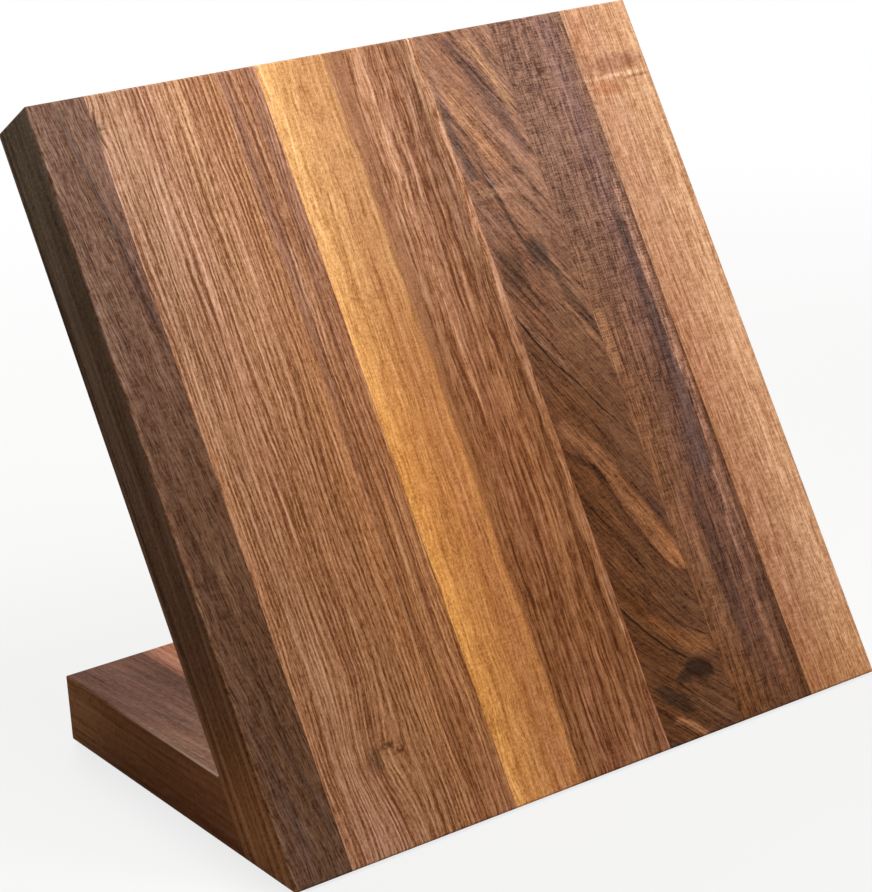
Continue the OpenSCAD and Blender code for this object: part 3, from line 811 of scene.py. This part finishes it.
baseStaves = [
    {
        "piece": "base_stave_1", "seed": 21.0, "wander": 3.0, "drift": 0.05,
        "keeps": (0.86, 1.08, 1.3),
        "colours": [
            (0, "9b6e55", "724936"), (18, "966c54", "764e3b"), (36.5, "865c43", "6e4632"),
        ],
        "side": [
            (60, "794a2c"), (105, "744728"), (135, "7a4d2d"), (161, "8d5e3b"), (178, "8d5e3b"),
        ],
        # arrisHighlight: a painted highlight on the rounded left top edge
        "arrisHighlight": (0.8, "f0cdb4", 140, 60),
        "bands": [(0.5, 3, 1), (0.8, 30, 0.9), (2.5, 30, 0.9), (6, 60, 0.6)],
        "sideBands": [(0.5, 6, 0.6), (0.8, 20, 0.5), (1.8, 60, 0.5), (3.6, 100, 0.5)],
        "ripples": [(3, 0.6, 0.6, 0.6)],
        "strokes": [
            (0.6, "5f4235", "573b2f", [(14, 172, 1.4), (22, 160, 2.4), (28, 146, 2.2),
                (33, 132, 1.2)]),
            (0.6, "66493b", "66493b", [(4, 134, 0.8), (9, 121, 1.6), (13, 110, 1.6),
                (19, 96, 0.8)]),
        ],
        "patches": [(6, 126, 5, 9, 10, 0.5, "9c6a52"), (33, 168, 5, 16, 0, 0.5, "85523d")],
    },
    {
        "piece": "base_stave_2", "seed": 22.0, "wander": 2.0,
        "colours": [
            (36, "855640", "8a5945"), (40, "a86e4f", "a86f54"), (44, "bd7d57", "bd7f60"),
            (50, "b87850", "b87855"), (64, "9a6040", "9c6544"), (95, "9a6142", "8f5a3f"),
        ],
        "bands": [(0.5, 5, 1), (0.6, 30, 1), (1, 120, 0.8), (6, 60, 0.4)],
        "ripples": [(3, 0.6, 0.6, 0.6)],
    },
    {
        "piece": "base_stave_3", "seed": 23.0, "wander": 3.0, "drift": 0.08,
        "colours": [
            (94, "7a5440", "7a5440"), (118, "84593f", "84593f"), (142, "6f4a39", "6f4a39"),
        ],
        "bands": [(0.5, 5, 1.3), (0.8, 30, 1.3), (1.6, 90, 0.9), (6, 60, 0.6)],
        "ripples": [(3, 0.6, 0.6, 0.6)],
    },
    {
        "piece": "base_stave_4", "seed": 24.0, "wander": 5.0, "drift": 0.15,
        "keeps": (0.94, 1.04, 1.08),
        "colours": [
            (141, "64483b", "64483b"), (170, "5a4037", "5a4037"), (204, "6b4c3c", "6b4c3c"),
        ],
        "bands": [(0.5, 5, 1), (1.2, 25, 1), (2.5, 60, 1.1), (6, 90, 1.1)],
        "ripples": [(3, 0.6, 0.7, 0.7)],
    },
    {
        "piece": "base_stave_5", "seed": 25.0, "wander": 1.5,
        "colours": [
            (203, "a87a50", "a87a50"), (222, "b98a5a", "b98a5a"), (236, "94663f", "94663f"),
            (256, "8a5d40", "8a5d40"),
        ],
        "bands": [(0.5, 5, 1), (0.8, 40, 1.1), (1.4, 120, 0.8), (1.6, 5, 0.6)],
        "ripples": [(3, 0.6, 0.5, 0.5)],
    },
    {
        "piece": "base_stave_6", "seed": 26.0, "wander": 3.0, "drift": -0.05,
        "colours": [
            (255, "74503e", "74503e"), (280, "6d4a3a", "6d4a3a"), (300, "775341", "775341"),
        ],
        "bands": [(0.5, 5, 1.3), (0.9, 30, 1.2), (3, 50, 0.9), (6, 60, 0.6)],
        "ripples": [(3, 0.6, 0.6, 0.6)],
    },
]

foot = (
    -block["width"] / 2000,
    cadBox[0][1] - block["frontEdge"] / 1000,
    block["standsOff"] / 1000,
)
for board, staves in ((panel, panelStaves), (base, baseStaves)):
    for stave in staves:
        dress(stave["piece"], makeWalnut(stave, board, foot))
print("walnut on", len(panelStaves) + len(baseStaves), "staves")

# Hidden fittings and feet: each has two colours that cloud together, a grain in millimetres
# along x, y and z, a third colour where its edges are rubbed, and the range of its roughness
fittings = {
    "nickel": {
        "colours": ("bdbab4", "d3d0ca"), "worn": "e6e0d2", "grain": (0.6, 0.6, 0.6),
        "metal": 1.0, "rough": (0.22, 0.34), "bump": 0.08,
    },
    "steel": {
        "colours": ("7f8184", "989a9d"), "worn": "b9bbbd", "grain": (0.3, 0.3, 5.0),
        "metal": 1.0, "rough": (0.32, 0.48), "bump": 0.15,
    },
    "beech": {
        "colours": ("c99f6e", "e0c093"), "worn": "ead2ad", "grain": (0.5, 9.0, 1.0),
        "metal": 0.0, "rough": (0.52, 0.7), "bump": 0.3,
    },
    "rubber": {
        "colours": ("1b1c1e", "2a2b2d"), "worn": "4a4a4a", "grain": (0.8, 0.8, 0.8),
        "metal": 0.0, "rough": (0.72, 0.9), "bump": 0.4,
    },
}

# What the fittings' materials share
finish = {
    "clouds": (0.3, 0.7),    # of the noise, from the first colour to the second
    "edges": (0.51, 0.6),    # of the pointiness, from none rubbed to all
    "wear": (0.35, 0.6),     # of the fine noise, the same
    "fineness": 4,           # how many times finer the small bumps are
    "bumpHeight": 0.00005,   # metres
}


def makeFitting(name):
    look = fittings[name]
    made, tree, shader = newMaterial(name)
    coords = put(tree, "TexCoord", {}).outputs["Object"]
    coords = vectorCalc(tree, "MULTIPLY", coords, [1000 / size for size in look["grain"]])
    cloud = noise(tree, coords, 2.0)
    fine = noise(tree, vectorCalc(tree, "MULTIPLY", coords, (finish["fineness"],) * 3), 1.0)
    first, second = look["colours"]
    share = remap(tree, cloud, *finish["clouds"])
    shown = mixColour(tree, share, colour(first), colour(second))
    rim = put(tree, "NewGeometry", {}).outputs["Pointiness"]
    edge = remap(tree, rim, *finish["edges"])
    rubbed = calc(tree, "MULTIPLY", edge, remap(tree, fine, *finish["wear"]))
    shown = mixColour(tree, rubbed, shown, colour(look["worn"]))
    plug(tree, shader.inputs["Base Color"], shown)
    plug(tree, shader.inputs["Roughness"], remap(tree, cloud, *finish["clouds"], *look["rough"]))
    plug(tree, shader.inputs["Metallic"], look["metal"])
    bumps = {"Height": fine, "Strength": look["bump"], "Distance": finish["bumpHeight"]}
    bump = put(tree, "Bump", bumps)
    plug(tree, shader.inputs["Normal"], bump.outputs[0])
    return made


kinds = {"magnets": "nickel", "pole": "steel", "joint": "beech", "foot": "rubber"}
fittingMaterials = {name: makeFitting(name) for name in fittings}
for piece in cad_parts:
    word = piece.split("_")[0]
    if word in kinds:
        dress(piece, fittingMaterials[kinds[word]])
print("fittings and feet dressed")


# Floor, backdrop and light
def seenDirectly(tree):
    # 1 where the camera looks, straight, off a shiny surface or through a clear one
    path = put(tree, "LightPath", {}).outputs
    seen = calc(tree, "MAXIMUM", path["Is Camera Ray"], path["Is Glossy Ray"])
    return calc(tree, "MAXIMUM", seen, path["Is Transmission Ray"])


floorHalf = studio["floorSize"] / 2
floorMesh = bpy.data.meshes.new("floor")
corners = [(-1, -1), (1, -1), (1, 1), (-1, 1)]
floorMesh.from_pydata([(a * floorHalf, b * floorHalf, 0) for a, b in corners], [], [(0, 1, 2, 3)])
floor = bpy.data.objects.new("floor", floorMesh)
scene.collection.objects.link(floor)
floorPaint = bpy.data.materials.new("floorPaint")
tree = emptyTree(floorPaint)
matte = put(tree, "BsdfDiffuse", {"Color": colour(studio["floorColour"])}).outputs[0]
seen = seenDirectly(tree)
coords = put(tree, "TexCoord", {}).outputs["Object"]
reach = put(tree, "VectorMath", {0: coords}, operation="LENGTH").outputs["Value"]
glow = remap(tree, reach, *studio["glowReach"], studio["floorGlow"], 1.0, smooth=True)
white = put(tree, "Emission", {"Strength": studio["backdrop"]}).outputs[0]
both = put(tree, "MixShader", {0: calc(tree, "MULTIPLY", glow, seen), 1: matte, 2: white})
put(tree, "OutputMaterial", {"Surface": both.outputs[0]})
floorMesh.materials.append(floorPaint)

world = bpy.data.worlds.new("studio")
scene.world = world
tree = emptyTree(world)
level = remap(tree, seenDirectly(tree), 0, 1, studio["fill"], studio["backdrop"])
sky = put(tree, "Background", {"Strength": level, "Color": (1, 1, 1, 1)}).outputs[0]
put(tree, "OutputWorld", {"Surface": sky})

target = Vector(studio["target"])
for name, box in softboxes.items():
    lamp = bpy.data.lights.new(name, "AREA")
    lamp.shape = "RECTANGLE"
    lamp.size, lamp.size_y = box["size"]
    lamp.energy = box["power"]
    holder = bpy.data.objects.new(name, lamp)
    scene.collection.objects.link(holder)
    holder.location = box["place"]
    holder.rotation_euler = (target - holder.location).to_track_quat("-Z", "Y").to_euler()

lensData = bpy.data.cameras.new("camera")
lensData.lens = camera["lens"]
lensData.sensor_width = camera["sensor"]
lensData.clip_start = camera["nearest"]
cameraObject = bpy.data.objects.new("camera", lensData)
scene.collection.objects.link(cameraObject)
cameraObject.matrix_world = (
    Matrix.Translation(camera["place"])
    @ Matrix.Rotation(-radians(camera["turn"]), 4, "Z")
    @ Matrix.Rotation(radians(90 - camera["dip"]), 4, "X")
    @ Matrix.Rotation(radians(camera["roll"]), 4, "Z")
)
scene.camera = cameraObject
scene.view_settings.view_transform = "Standard"
print("camera, floor and light set")
